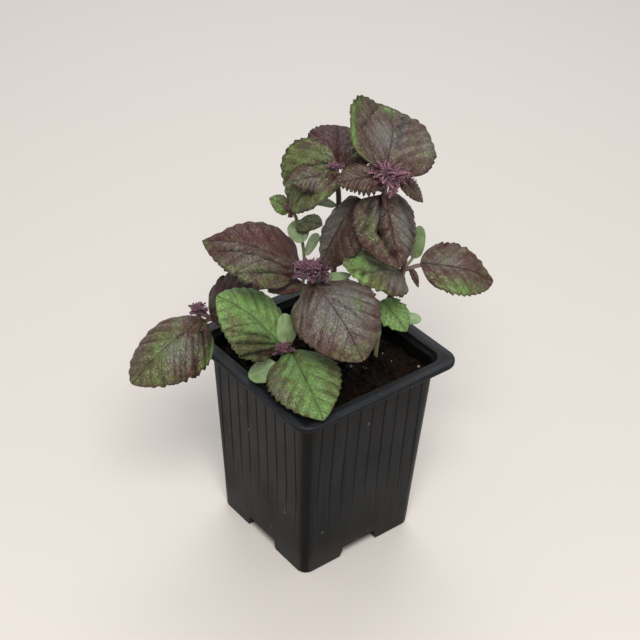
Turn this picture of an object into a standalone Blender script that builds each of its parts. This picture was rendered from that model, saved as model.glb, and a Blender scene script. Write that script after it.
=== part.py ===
"""Potted shiso: a square nursery pot of compost with seven leafy stems in it.

The origin is on the ground under the pot's centre. The pot's sides face along X and Y.
Plant sizes are in millimetres and degrees; the builders turn them into metres.
"""

from math import cos, pi, radians, sin, tau

import bmesh
import bpy
import numpy as np
from mathutils import Matrix, Vector

MM = 0.001
CLEAR = 0.3

# Pot
POT_HEIGHT = 100.0
RIM_HALF = 45.0
MOUTH_HALF = 38.3
WALL_TOP_HALF = 37.6
BASE_HALF = 32.6
WALL = 1.0
LIP_DROP = 2.6
FLOOR_TOP = 5.6
FEET_GAP = 20.0
FEET_HEIGHT = 3.0
FLUTES_PER_SIDE = 9
FLUTE_PITCH = 7.1
FLUTE_DEPTH = 0.42
FLUTE_WIDTH = 1.1
FLUTE_TOP = 96.0
FLUTE_FADE = 26.0
DRAIN_DIAMETER = 8.0
DRAIN_OFFSET = 22.5
CHANNEL_START = 13.0
CORNER_STEPS = 5

# Compost
SOIL_TOP = 91.5
SOIL_LUMP = 1.1
STEM_DEPTH = 12.0

# Leaves
BLADE_THICKNESS = 0.7
TOOTH_CUT = 0.085
QUILT_DEPTH = 0.45
MARGIN_WAVE = 1.0
WIDEST_AT = 0.42


def clear_scene():
    for obj in list(bpy.data.objects):
        bpy.data.objects.remove(obj, do_unlink=True)


def principled(name, colour, roughness):
    material = bpy.data.materials.new(name)
    material.use_nodes = True
    shader = material.node_tree.nodes["Principled BSDF"]
    shader.inputs["Base Color"].default_value = (*colour, 1.0)
    shader.inputs["Roughness"].default_value = roughness
    shader.inputs["Metallic"].default_value = 0.0
    return material


def object_from(bm, name, material=None, smooth_angle=30.0):
    """A scene object of this bmesh, whose sizes are in millimetres."""
    bmesh.ops.transform(bm, matrix=Matrix.Scale(MM, 4), verts=bm.verts)
    bmesh.ops.recalc_face_normals(bm, faces=bm.faces)
    mesh = bpy.data.meshes.new(name)
    bm.to_mesh(mesh)
    bm.free()
    mesh.shade_smooth()
    mesh.set_sharp_from_angle(angle=radians(smooth_angle))
    obj = bpy.data.objects.new(name, mesh)
    bpy.context.scene.collection.objects.link(obj)
    if material:
        mesh.materials.append(material)
    return obj


def apply_modifiers(obj):
    """Keeps the shape that the modifiers give as the object's own mesh."""
    bpy.context.view_layer.update()
    graph = bpy.context.evaluated_depsgraph_get()
    mesh = bpy.data.meshes.new_from_object(obj.evaluated_get(graph))
    obj.modifiers.clear()
    obj.data = mesh


def boolean(obj, operation, others):
    """One exact Boolean with a collection of helpers, which are then removed."""
    group = bpy.data.collections.new(obj.name + "_helpers")
    for other in others:
        group.objects.link(other)
    modifier = obj.modifiers.new(operation.lower(), "BOOLEAN")
    modifier.operation = operation
    modifier.operand_type = "COLLECTION"
    modifier.collection = group
    modifier.solver = "EXACT"
    modifier.use_self = operation == "UNION"
    apply_modifiers(obj)
    for other in others:
        bpy.data.objects.remove(other, do_unlink=True)
    bpy.data.collections.remove(group)


def skin(bm, rings):
    """Joins rings of equal length from first to last and closes both ends."""
    loops = [[bm.verts.new(p) for p in ring] for ring in rings]
    count = len(loops[0])
    for low, high in zip(loops, loops[1:]):
        for i in range(count):
            j = (i + 1) % count
            bm.faces.new((low[i], low[j], high[j], high[i]))
    bm.faces.new(list(reversed(loops[0])))
    bm.faces.new(loops[-1])
    return loops


def square_ring(half, radius, z, per_side=1):
    """A square with round corners at this height, with some points along each side."""
    points = []
    for corner in range(4):
        turn = Matrix.Rotation(corner * pi / 2, 3, "Z")
        for i in range(CORNER_STEPS + 1):
            a = pi / 2 * i / CORNER_STEPS
            x = half - radius + radius * cos(a)
            y = half - radius + radius * sin(a)
            points.append(turn @ Vector((x, y, z)))
        for i in range(1, per_side):
            y = half
            x = (half - radius) * (1 - 2 * i / per_side)
            points.append(turn @ Vector((x, y, z)))
    return points


def cylinder(name, radius, bottom, top, centre=(0, 0), sides=16):
    bm = bmesh.new()
    place = Matrix.Translation((centre[0], centre[1], (bottom + top) / 2))
    bmesh.ops.create_cone(bm, cap_ends=True, segments=sides, radius1=radius, radius2=radius,
                          depth=top - bottom, matrix=place)
    return object_from(bm, name)


def wall_half(z):
    """Half the pot's outer width at this height, below the rim."""
    return BASE_HALF + (WALL_TOP_HALF - BASE_HALF) * z / FLUTE_TOP


def inner_half(z):
    return wall_half(z) - WALL


def flute_cutters():
    """A thin wedge for each flute, which runs out of the wall at its lower end."""
    cutters = []
    for side in range(4):
        turn = Matrix.Rotation(side * pi / 2, 3, "Z")
        for i in range(FLUTES_PER_SIDE):
            y = (i - (FLUTES_PER_SIDE - 1) / 2) * FLUTE_PITCH
            bm = bmesh.new()
            rings = []
            for z, depth in ((FLUTE_FADE, 0.0), (FLUTE_FADE + 14, FLUTE_DEPTH), (FLUTE_TOP, FLUTE_DEPTH)):
                face = wall_half(z)
                spread = FLUTE_WIDTH / 2
                rings.append([
                    turn @ Vector((face - depth, y, z)),
                    turn @ Vector((face + 0.6, y - spread - 0.6, z)),
                    turn @ Vector((face + 0.6, y + spread + 0.6, z)),
                ])
            skin(bm, rings)
            cutters.append(object_from(bm, f"flute_{side}_{i}"))
    return cutters


def channel_cutters():
    """A channel under the middle of each side, which ends in a sloped arch in the wall."""
    cutters = []
    for side in range(4):
        turn = Matrix.Rotation(side * pi / 2, 3, "Z")
        out = RIM_HALF
        face = wall_half(0)
        half = FEET_GAP / 2
        profile = ((out, -1), (CHANNEL_START, -1), (CHANNEL_START, FEET_HEIGHT), (face - 2.2, FEET_HEIGHT),
                   (face + 0.3, FLOOR_TOP + 0.4), (out, FLOOR_TOP + 0.4))
        bm = bmesh.new()
        rings = []
        for y in (-half, half):
            flare = 1.4 if y > 0 else -1.4
            rings.append([turn @ Vector((x, y + (flare if z < 0 else 0), z)) for x, z in profile])
        skin(bm, rings)
        cutters.append(object_from(bm, f"channel_{side}"))
    return cutters


def build_pot(material):
    top = POT_HEIGHT
    lip = top - LIP_DROP
    rings = [
        square_ring(BASE_HALF - 1.0, 4.4, 0.0),
        square_ring(wall_half(1.2), 5.2, 1.2),
        square_ring(wall_half(FLUTE_TOP), 6.0, FLUTE_TOP),
        square_ring(WALL_TOP_HALF + 0.1, 6.0, top - 2.1),
        square_ring(WALL_TOP_HALF + 0.7, 6.2, top - 1.4),
        square_ring(RIM_HALF - 1.2, 7.6, top - 1.3),
        square_ring(RIM_HALF - 1.1, 7.7, lip + 0.1),
        square_ring(RIM_HALF - 0.5, 8.0, lip),
        square_ring(RIM_HALF, 8.3, lip + 0.5),
        square_ring(RIM_HALF, 8.3, top - 0.7),
        square_ring(RIM_HALF - 0.6, 8.0, top),
        square_ring(MOUTH_HALF + 1.1, 6.6, top),
        square_ring(MOUTH_HALF, 6.0, top - 0.6),
        square_ring(inner_half(FLUTE_TOP), 5.2, top - 3.0),
        square_ring(inner_half(FLOOR_TOP), 4.2, FLOOR_TOP),
    ]
    bm = bmesh.new()
    skin(bm, rings)
    pot = object_from(bm, "pot", material)
    boolean(pot, "DIFFERENCE", channel_cutters())
    drains = [(x * DRAIN_OFFSET, y * DRAIN_OFFSET) for x, y in ((1, 0), (0, 1), (-1, 0), (0, -1))]
    helpers = [cylinder(f"drain_{i}", DRAIN_DIAMETER / 2, -1, FLOOR_TOP + 1, at, 20) for i, at in enumerate(drains)]
    boolean(pot, "DIFFERENCE", flute_cutters() + helpers)
    return pot


def build_soil(material, stems):
    """Compost that fills the pot a gap's width inside its walls, with a lumpy top."""
    rng = np.random.default_rng(7)
    low = FLOOR_TOP + CLEAR
    edge = SOIL_TOP - 1.0
    rings = [
        square_ring(inner_half(low) - CLEAR, 4.0, low, 4),
        square_ring(inner_half(edge) - CLEAR, 5.0, edge, 4),
    ]
    outer = rings[-1]
    for share in (0.9, 0.72, 0.52, 0.32, 0.13):
        ring = []
        for p in outer:
            lump = SOIL_LUMP * float(rng.uniform(-1, 1))
            ring.append(Vector((p.x * share, p.y * share, SOIL_TOP + lump)))
        rings.append(ring)
    bm = bmesh.new()
    skin(bm, rings)
    soil = object_from(bm, "soil", material)
    holes = []
    for name, (x, y), radius in stems:
        reach = radius + CLEAR + 0.15
        holes.append(cylinder("hole_" + name, reach, SOIL_TOP - STEM_DEPTH - CLEAR - 0.2, SOIL_TOP + 6, (x, y), 12))
    boolean(soil, "DIFFERENCE", holes)
    return soil


def tube(name, points, radii, sides=6):
    """A round bar through these points with the radius of each, with closed ends."""
    points = [Vector(p) for p in points]
    bm = bmesh.new()
    rings = []
    across = None
    for i, p in enumerate(points):
        along = (points[min(i + 1, len(points) - 1)] - points[max(i - 1, 0)]).normalized()
        if across is None:
            across = along.orthogonal().normalized()
        across = (across - along * across.dot(along)).normalized()
        other = along.cross(across)
        ring = []
        for k in range(sides):
            a = tau * k / sides
            ring.append(p + (across * cos(a) + other * sin(a)) * radii[i])
        rings.append(ring)
    skin(bm, rings)
    return object_from(bm, name, smooth_angle=60)


def half_outline(u):
    """The blade's half width along its length, as a share of the widest."""
    if u < WIDEST_AT:
        rise = 1 - ((WIDEST_AT - u) / WIDEST_AT) ** 2
        return max(rise, 0.0) ** 0.42
    fall = 1 - ((u - WIDEST_AT) / (1 - WIDEST_AT)) ** 1.8
    return max(fall, 0.0) ** 0.85


class Blade:
    """A leaf blade between a base and a tip, arched along its rib and bent down at its sides."""

    def __init__(self, base, tip, width, arch=0.0, roll=0.0, cup=0.0, wave=1.0):
        self.base = Vector(base)
        chord = Vector(tip) - self.base
        self.chord = chord.length
        self.turn = Matrix.Rotation(radians(roll), 3, chord.normalized())
        heading = np.arctan2(chord.y, chord.x)
        self.ahead = Vector((cos(heading), sin(heading), 0.0))
        self.pitch = float(np.arcsin(chord.z / chord.length))
        self.bend = radians(arch) / 2
        self.width = width
        self.cup = radians(cup)
        self.wave = wave

    def rib(self, u):
        """The point, direction and upward normal of the rib at this share of its length."""
        a = self.pitch + self.bend * (1 - 2 * u)
        up = Vector((0, 0, 1))
        if abs(self.bend) < 0.01:
            run = self.chord * u * cos(self.pitch)
            rise = self.chord * u * sin(self.pitch)
        else:
            radius = self.chord / sin(self.bend) / 2
            run = radius * (sin(self.pitch + self.bend) - sin(a))
            rise = radius * (cos(a) - cos(self.pitch + self.bend))
        point = self.ahead * run + up * rise
        along = self.ahead * cos(a) + up * sin(a)
        normal = up * cos(a) - self.ahead * sin(a)
        return point, along, normal

    def at(self, u, v, trim=1.0, lift=0.0, least=0.5):
        """The point at u along the rib and v across, -1 to 1 from margin to margin."""
        point, along, normal = self.rib(u)
        side = normal.cross(along)
        half = max(self.width / 2 * half_outline(u) * trim, least)
        if abs(self.cup) < 0.01:
            y, z = half * v, 0.0
        else:
            y = half * sin(self.cup * v) / self.cup
            z = -half * (1 - cos(self.cup * v)) / self.cup
        swell = self.wave * v * v * sin(tau * (1.6 * u + (0.15 if v > 0 else 0.6)))
        z += swell * min(1.0, half / 8) + lift
        return self.base + self.turn @ (point + side * y + normal * z)


def blade_mesh(name, blade, teeth=6, columns=4, quilt=QUILT_DEPTH, cut=TOOTH_CUT):
    """The blade as a thin sheet whose margin is cut into forward teeth."""
    pitch = 1.0 / teeth
    rows = [0.0]
    for k in range(teeth):
        rows += [pitch * (k + 0.72), pitch * (k + 1)]
    bm = bmesh.new()
    bmesh.ops.create_grid(bm, x_segments=len(rows) - 1, y_segments=columns, size=1)
    for vert in bm.verts:
        row = round((vert.co.x + 1) / 2 * (len(rows) - 1))
        v = vert.co.y
        u = rows[row]
        peak = row % 2 == 1
        last = row == len(rows) - 1
        trim = 1.0 if peak else 1.0 - cut * 1.6
        crease = 0.0 if last or row == 0 else (-quilt if peak else quilt) * sin(pi * abs(v))
        vert.co = blade.at(u, v, trim if abs(v) > 0.9 else 1.0, crease, 0.35 if last else 0.8)
    bmesh.ops.triangulate(bm, faces=bm.faces)
    obj = object_from(bm, name)
    thick = obj.modifiers.new("thick", "SOLIDIFY")
    thick.thickness = BLADE_THICKNESS * MM
    thick.offset = 0.0
    apply_modifiers(obj)
    return obj


def leaf(name, joint, base, tip, width, arch=30, roll=0, cup=20, teeth=6, stalk=1.0, wave=MARGIN_WAVE):
    """A toothed leaf with its stalk, which starts inside the stem and runs on under the rib."""
    blade = Blade(base, tip, width, arch, roll, cup, wave)
    big = width > 18
    sheet = blade_mesh(name, blade, teeth, 4 if big else 2, QUILT_DEPTH if big else 0.1)
    reach = (0.0, 0.12, 0.3, 0.5, 0.72) if big else (0.0, 0.2, 0.5)
    path = [joint] + [blade.at(u, 0.0, lift=-0.3) for u in reach]
    sizes = [stalk] + [stalk * (1 - 0.72 * u) for u in reach]
    return [sheet, tube(name + "_rib", path, sizes, 5)]


def round_leaf(name, joint, base, tip, width, roll=0, cup=15, stalk=0.6):
    """A small plain-edged seed leaf on its stalk."""
    blade = Blade(base, tip, width, 15, roll, cup, 0.0)
    sheet = blade_mesh(name, blade, 4, 2, 0.0, 0.0)
    path = [joint] + [blade.at(u, 0.0, lift=-0.2) for u in (0.0, 0.25, 0.5)]
    return [sheet, tube(name + "_rib", path, [stalk, stalk, stalk * 0.8, stalk * 0.5], 5)]


def crown(name, centre, length, count, spread=55.0, lean=(0, 0), start=33.0):
    """Young toothed leaves crowded round a growing tip."""
    parts = []
    for i in range(count):
        heading = radians(start + 360 / count * i * 1.0)
        tilt = radians(90 - spread * (0.75 + 0.5 * (i % 2)))
        size = length * (1.0 - 0.18 * (i % 2))
        base = Vector(centre) + Vector((cos(heading), sin(heading), 0)) * 0.8
        tip = base + Vector((cos(heading) * cos(tilt), sin(heading) * cos(tilt), sin(tilt))) * size
        tip += Vector((lean[0], lean[1], 0))
        blade = Blade(base, tip, size * 0.62, 35, 6, 24, 0.0)
        parts.append(blade_mesh(f"{name}_{i}", blade, 2, 2, 0.2, 0.2))
    path = [Vector(centre) - Vector((0, 0, 3)), Vector(centre) + Vector((0, 0, length * 0.35))]
    parts.append(tube(name + "_core", path, [1.6, 0.9], 6))
    return parts


def stem(name, path, thick, thin):
    """A stem that stands straight in the compost and tapers toward its tip."""
    foot = Vector((path[0][0], path[0][1], SOIL_TOP - STEM_DEPTH))
    points = [foot] + [Vector(p) for p in path]
    share = [0.0] + [i / (len(path) - 1) for i in range(len(path))]
    return tube(name, points, [thick + (thin - thick) * s for s in share], 8)


def keep_outer_shell(obj):
    """Drops the small closed pockets that crowded leaves leave inside a union."""
    bm = bmesh.new()
    bm.from_mesh(obj.data)
    left = set(bm.verts)
    shells = []
    while left:
        shell = {left.pop()}
        edge = list(shell)
        while edge:
            for link in edge.pop().link_edges:
                for vert in link.verts:
                    if vert in left:
                        left.remove(vert)
                        shell.add(vert)
                        edge.append(vert)
        shells.append(shell)
    shells.sort(key=len)
    pockets = [vert for shell in shells[:-1] for vert in shell]
    bmesh.ops.delete(bm, geom=pockets, context="VERTS")
    bm.to_mesh(obj.data)
    bm.free()


def leafy_stem(name, material, trunk, parts):
    """Joins a stem and everything that grows on it into one body."""
    boolean(trunk, "UNION", parts)
    keep_outer_shell(trunk)
    trunk.name = name
    trunk.data.name = name
    trunk.data.materials.clear()
    trunk.data.materials.append(material)
    trunk.data.shade_smooth()
    trunk.data.set_sharp_from_angle(angle=radians(40))
    return trunk


TALL_FOOT = (2.5, 23.5)
BACK_FOOT = (-16.5, 17.5)
CENTRE_FOOT = (5.0, -6.5)
LEFT_FOOT = (-30.0, -18.0)
FRONT_FOOT = (9.0, -21.0)
RIGHT_FOOT = (12.0, 22.0)
SPRIG_FOOT = (-31.0, 11.0)
STEM_RADIUS = {"tall": 1.5, "back": 1.4, "centre": 1.4, "left": 1.3, "front": 1.2, "right": 0.9, "sprig": 0.8}


def rise(foot, *points):
    """A stem's path, straight up to just above the compost and then through these points."""
    return [(foot[0], foot[1], SOIL_TOP + 3.5), *points]


def build_tall_stem(material):
    lower = (12, 35, 134)
    upper = (5.5, 27.5, 171)
    tip = (5.5, 27, 181)
    trunk = stem("tall", rise(TALL_FOOT, (7, 29.5, 113), lower, (10, 34, 152), upper, tip), 1.5, 1.2)
    parts = leaf("top", tip, (5, 26.5, 184), (-26, 56, 194.5), 45, 48, 24, -8, 6)
    parts += leaf("top_small", (6, 28, 178), (10, 32, 181), (19, 37, 172), 12, 20, 0, 15, 4, 0.8)
    parts += leaf("top_left", tip, (5, 25, 182.5), (-0.5, 4, 183), 21, 10, -9, 18, 5, 0.9)
    parts += leaf("front", upper, (6.5, 26, 174), (26, 20, 148.5), 36, 3, -11, 46, 6)
    parts += leaf("dark", upper, (-2.5, 20, 169), (-5, 1.5, 137), 32, 46, -2, 50, 6)
    parts += leaf("low_left", lower, (12, 34, 134), (12.5, 2, 147), 34, 40, -17, 30, 6)
    parts += leaf("low_right", lower, (16, 41.5, 137.5), (32.5, 72, 125.5), 29, 44, 27, 19, 6)
    parts += leaf("low_small", (12.5, 35.8, 135), (14, 37.5, 135), (18.5, 39, 127), 4.6, 20, 0, 0, 3, 0.6)
    parts += round_leaf("low_round", (12, 36, 135), (12, 40, 139), (11, 45, 153), 12, -20, 15, 0.7)
    parts += crown("crown", (7, 25, 180), 10.5, 7, 62)
    return leafy_stem("tall_stem", material, trunk, parts)


def build_back_stem(material):
    tip = (-16.5, 17, 178)
    trunk = stem("back", rise(BACK_FOOT, (-17, 19, 130), (-17, 20, 160), tip), 1.4, 1.1)
    parts = leaf("left", (-16.5, 17, 177), (-16, 17.5, 179.5), (-31, 3, 159), 38, 105, -32, -12, 6)
    parts += leaf("rear", tip, (-17, 18.5, 178), (-43, 38, 182), 35, 56, 8, 9, 6)
    parts += leaf("fore", tip, (-17, 15.5, 176), (-20.5, -5.5, 177.5), 22, 12, -13, 35, 5)
    parts += round_leaf("oval", (-17, 20, 157), (-17.5, 18.5, 159.5), (-23, 6.5, 163.5), 9, 0, 10, 0.7)
    parts += crown("crown", (-15.5, 15.5, 178.5), 5.0, 5, 50)
    return leafy_stem("back_stem", material, trunk, parts)


def build_centre_stem(material):
    tip = (2.5, -10.5, 143)
    trunk = stem("centre", rise(CENTRE_FOOT, (4.5, -8, 115), (2.5, -10, 135), tip), 1.4, 1.2)
    parts = leaf("left", tip, (-2, -13.5, 145.5), (-33.5, -42, 154), 41.5, 61, -13, 23, 6)
    parts += leaf("fore", (2.5, -10, 138), (4, -10, 139.5), (45, -14.5, 125), 46, 80, 17, 37, 6)
    parts += leaf("small_left", (2.5, -10, 137), (0.5, -13.5, 140), (-4.5, -28, 138), 11, 20, 0, 15, 4, 0.8)
    parts += round_leaf("small_right", (2.5, -10, 136), (2, -3, 138), (7, 8.5, 139), 7, 0, 10, 0.7)
    parts += crown("crown", (3.2, -11.2, 144.4), 9.5, 7, 50)
    return leafy_stem("centre_stem", material, trunk, parts)


def build_left_stem(material):
    tip = (-33, -43, 117.5)
    trunk = stem("left", rise(LEFT_FOOT, (-30.5, -26, 103.5), (-32, -38.5, 112), tip), 1.3, 1.0)
    parts = leaf("outer", (-32, -39, 112.5), (-32, -42.5, 113.5), (-31, -82, 97.5), 42, 46, -14, 54, 6)
    parts += leaf("inner", (-32.3, -39, 113), (-33, -39, 115), (-19, -19.5, 131.5), 26, 50, 20, 7, 5)
    parts += crown("crown", (-33.5, -44.5, 118), 4.5, 5, 45)
    return leafy_stem("left_stem", material, trunk, parts)


def build_front_stem(material):
    tip = (7.5, -26.5, 112)
    trunk = stem("front", rise(FRONT_FOOT, (8.5, -24, 103), tip), 1.2, 1.1)
    parts = leaf("left", tip, (5, -27.5, 114), (-17.5, -45.5, 135.5), 38, 55, -16, 27, 6)
    parts += leaf("fore", tip, (9.5, -25.5, 113.5), (46, -35.5, 103.5), 34.5, 38, 10, 30, 6)
    parts += round_leaf("seed_back", (7.5, -26, 110), (6, -24.5, 114.5), (1.5, -23.5, 128), 8.5, 0, 10, 0.7)
    parts += round_leaf("seed_left", (8.4, -24, 103), (8.3, -31.5, 107), (4, -44, 104), 13.5, 0, 10, 0.7)
    parts += crown("crown", (8.5, -28.5, 113), 6.0, 5, 50)
    return leafy_stem("front_stem", material, trunk, parts)


def build_right_stem(material):
    tip = (10, 25, 119)
    trunk = stem("right", rise(RIGHT_FOOT, (11, 24, 106), tip), 0.9, 0.8)
    parts = leaf("lead", tip, (10, 25, 120.5), (26, 27, 112), 15, 39, 20, 20, 4, 0.7)
    parts += round_leaf("seed_right", (10.5, 24.5, 111), (17.5, 31, 113), (24.8, 36.5, 113.5), 8, 0, 10, 0.6)
    parts += round_leaf("seed_left", (11.1, 24.2, 103.7), (10.5, 24.5, 105.5), (11.5, 18.5, 99.5), 6.5, 30, 10, 0.6)
    return leafy_stem("right_stem", material, trunk, parts)


def build_sprig(material):
    tip = (-34.5, 7, 152)
    trunk = stem("sprig", rise(SPRIG_FOOT, (-30.5, 12, 127), (-33, 9, 147), tip), 0.8, 0.7)
    parts = leaf("far", tip, (-35, 6.5, 152.5), (-40.5, -1, 158), 10, 20, -25, 15, 4, 0.6)
    parts += leaf("near", (-33, 9, 147), (-32.5, 9.5, 146), (-20, 13.5, 149), 13, 20, 15, 15, 4, 0.6)
    parts += round_leaf("seed_a", (-30.6, 12, 128), (-30, 12, 131), (-22.5, 14, 141.5), 9, 40, 10, 0.6)
    parts += round_leaf("seed_b", (-33, 9, 146.5), (-33, 8.5, 147), (-25, 6, 140), 10, 20, 10, 0.6)
    parts += crown("crown", (-34.5, 6.5, 152), 3.5, 4, 45)
    return leafy_stem("sprig_stem", material, trunk, parts)


def main():
    clear_scene()
    build_pot(principled("charcoal_plastic", (0.022, 0.022, 0.024), 0.45))
    feet = {"tall": TALL_FOOT, "back": BACK_FOOT, "centre": CENTRE_FOOT, "left": LEFT_FOOT,
            "front": FRONT_FOOT, "right": RIGHT_FOOT, "sprig": SPRIG_FOOT}
    build_soil(principled("compost", (0.012, 0.008, 0.006), 0.95),
               [(name, foot, STEM_RADIUS[name]) for name, foot in feet.items()])
    purple = (0.085, 0.045, 0.05)
    green = (0.10, 0.22, 0.05)
    build_tall_stem(principled("purple_leaf_tall", purple, 0.5))
    build_back_stem(principled("purple_leaf_back", purple, 0.5))
    build_centre_stem(principled("purple_leaf_centre", purple, 0.5))
    build_left_stem(principled("purple_leaf_left", purple, 0.5))
    build_front_stem(principled("green_leaf_front", green, 0.5))
    build_right_stem(principled("green_leaf_right", green, 0.5))
    build_sprig(principled("green_leaf_sprig", green, 0.5))


main()
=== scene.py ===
"""Potted shiso: leaves, stems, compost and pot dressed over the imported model.

Plant and pot sizes are in millimetres and degrees, and become metres where a mesh is made.
"""

from math import cos, pi, radians, sin, tau

import bmesh
import bpy
import numpy as np
from mathutils import Matrix, Vector, noise


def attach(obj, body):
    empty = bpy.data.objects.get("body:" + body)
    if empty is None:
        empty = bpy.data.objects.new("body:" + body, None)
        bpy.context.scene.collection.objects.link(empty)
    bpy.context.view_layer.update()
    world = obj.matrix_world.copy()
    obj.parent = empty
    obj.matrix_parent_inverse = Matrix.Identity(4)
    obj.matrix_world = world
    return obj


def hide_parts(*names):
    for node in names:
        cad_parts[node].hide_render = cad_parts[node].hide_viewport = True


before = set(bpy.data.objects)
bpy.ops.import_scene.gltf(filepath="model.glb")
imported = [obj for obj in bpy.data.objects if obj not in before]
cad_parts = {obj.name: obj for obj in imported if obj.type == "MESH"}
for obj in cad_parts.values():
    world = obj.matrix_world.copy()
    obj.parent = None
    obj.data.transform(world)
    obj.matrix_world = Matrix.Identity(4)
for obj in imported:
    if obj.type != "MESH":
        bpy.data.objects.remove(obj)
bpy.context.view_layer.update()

MM = 0.001
WALL_FOOT = 32.6
WALL_LEAN = 5.0 / 96.0
FLOOR_TOP = 5.6
SOIL_TOP = 91.5


# Camera and studio

def set_camera():
    """Looks down at the pot's near corner, with a slight roll."""
    turn, height, roll, distance = radians(50.8), radians(35.0), radians(2.2), 0.674
    target = Vector((-0.0025, 0.0, 0.1128))
    back = Vector((sin(turn) * cos(height), -cos(turn) * cos(height), sin(height)))
    level = Vector((0, 0, 1)).cross(back).normalized()
    upright = back.cross(level)
    right = level * cos(roll) + upright * sin(roll)
    up = upright * cos(roll) - level * sin(roll)
    bpy.ops.object.camera_add()
    camera = bpy.context.object
    facing = Matrix((right, up, back)).transposed().to_4x4()
    camera.matrix_world = Matrix.Translation(target + back * distance) @ facing
    camera.data.sensor_width = 36.0
    camera.data.lens = 84.375
    bpy.context.scene.camera = camera
    bpy.context.scene.view_settings.view_transform = "Standard"


def soft_light(name, place, size, power, colour):
    """A square lamp at this place, turned to the middle of the plant."""
    middle = Vector((0, 0, 0.12))
    bpy.ops.object.light_add(type="AREA", location=place)
    light = bpy.context.object
    light.name = name
    light.rotation_mode = "QUATERNION"
    light.rotation_quaternion = (middle - Vector(place)).to_track_quat("-Z", "Y")
    light.data.shape = "SQUARE"
    light.data.size = size
    light.data.energy = power
    light.data.color = colour


def build_studio():
    world = bpy.data.worlds.new("studio")
    world.use_nodes = True
    bpy.context.scene.world = world
    sky = world.node_tree.nodes["Background"]
    sky.inputs["Color"].default_value = (0.95, 0.97, 1.0, 1.0)
    sky.inputs["Strength"].default_value = 0.46
    soft_light("window", (0.55, -0.40, 1.0), 0.5, 13.0, (1.0, 0.985, 0.965))
    soft_light("overhead", (-0.55, 0.45, 0.9), 0.8, 5.0, (0.96, 0.98, 1.0))

    bpy.ops.mesh.primitive_plane_add(size=12.0, location=(0, 0, 0))
    floor = bpy.context.object
    floor.name = "floor"
    floor.data.materials.append(finish("pale_floor", (0.62, 0.575, 0.53), 0.7)[0])


# Finishes

def finish(name, colour, roughness, **plain):
    """A new material with these plain values, with its tree and its shader."""
    material = bpy.data.materials.new(name)
    material.use_nodes = True
    material.diffuse_color = (*colour, 1.0)
    tree = material.node_tree
    shader = tree.nodes["Principled BSDF"]
    shader.inputs["Base Color"].default_value = (*colour, 1.0)
    shader.inputs["Roughness"].default_value = roughness
    for socket, value in plain.items():
        shader.inputs[socket.replace("_", " ")].default_value = value
    return material, tree, shader


def put(tree, kind, sockets=None, **settings):
    """A node with these settings, its inputs set to values or joined to other nodes' outputs."""
    node = tree.nodes.new("ShaderNode" + kind)
    for setting, value in settings.items():
        setattr(node, setting, value)
    for socket, value in (sockets or {}).items():
        if isinstance(value, bpy.types.NodeSocket):
            tree.links.new(value, node.inputs[socket])
        else:
            node.inputs[socket].default_value = value
    return node


def sums(tree, operation, first, second=0.0, third=0.0):
    return put(tree, "Math", {0: first, 1: second, 2: third}, operation=operation).outputs[0]


def times(tree, first, second):
    return sums(tree, "MULTIPLY", first, second)


def scaled(tree, value, by, plus):
    return sums(tree, "MULTIPLY_ADD", value, by, plus)


def ramp(tree, value, low, high, first=0.0, last=1.0, smooth=True):
    """Runs from first to last while the value runs from low to high."""
    node = put(tree, "MapRange", {"Value": value, 1: low, 2: high, 3: first, 4: last},
               interpolation_type="SMOOTHSTEP" if smooth else "LINEAR")
    return node.outputs[0]


def blend(tree, share, first, second, kind="MIX"):
    """Two colours mixed by a share."""
    first, second = ((*colour, 1.0) if isinstance(colour, tuple) else colour for colour in (first, second))
    node = put(tree, "Mix", {0: share, 6: first, 7: second}, data_type="RGBA", blend_type=kind,
               clamp_factor=True)
    return node.outputs[2]


def grain(tree, place, scale, detail=2.0, roughness=0.5):
    node = put(tree, "TexNoise", {"Vector": place, "Scale": scale, "Detail": detail, "Roughness": roughness})
    return node.outputs[0]


def cells(tree, place, scale, feature="DISTANCE_TO_EDGE"):
    return put(tree, "TexVoronoi", {"Vector": place, "Scale": scale}, feature=feature).outputs["Distance"]


def attribute(tree, name):
    return put(tree, "Attribute", attribute_name=name).outputs["Fac"]


def dim(tree, colour, share):
    """A colour darkened to a share of itself."""
    grey = put(tree, "CombineColor", {0: share, 1: share, 2: share}).outputs[0]
    return blend(tree, 1.0, colour, grey, "MULTIPLY")


def dress(tree, shader, colour, height, strength, depth, roughness=None):
    """Gives a shader its colour, its bumps and, where it isn't the same all over, its roughness."""
    tree.links.new(colour, shader.inputs["Base Color"])
    if roughness:
        tree.links.new(roughness, shader.inputs["Roughness"])
    bumps = put(tree, "Bump", {"Height": height, "Strength": strength, "Distance": depth}).outputs[0]
    tree.links.new(bumps, shader.inputs["Normal"])


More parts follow.
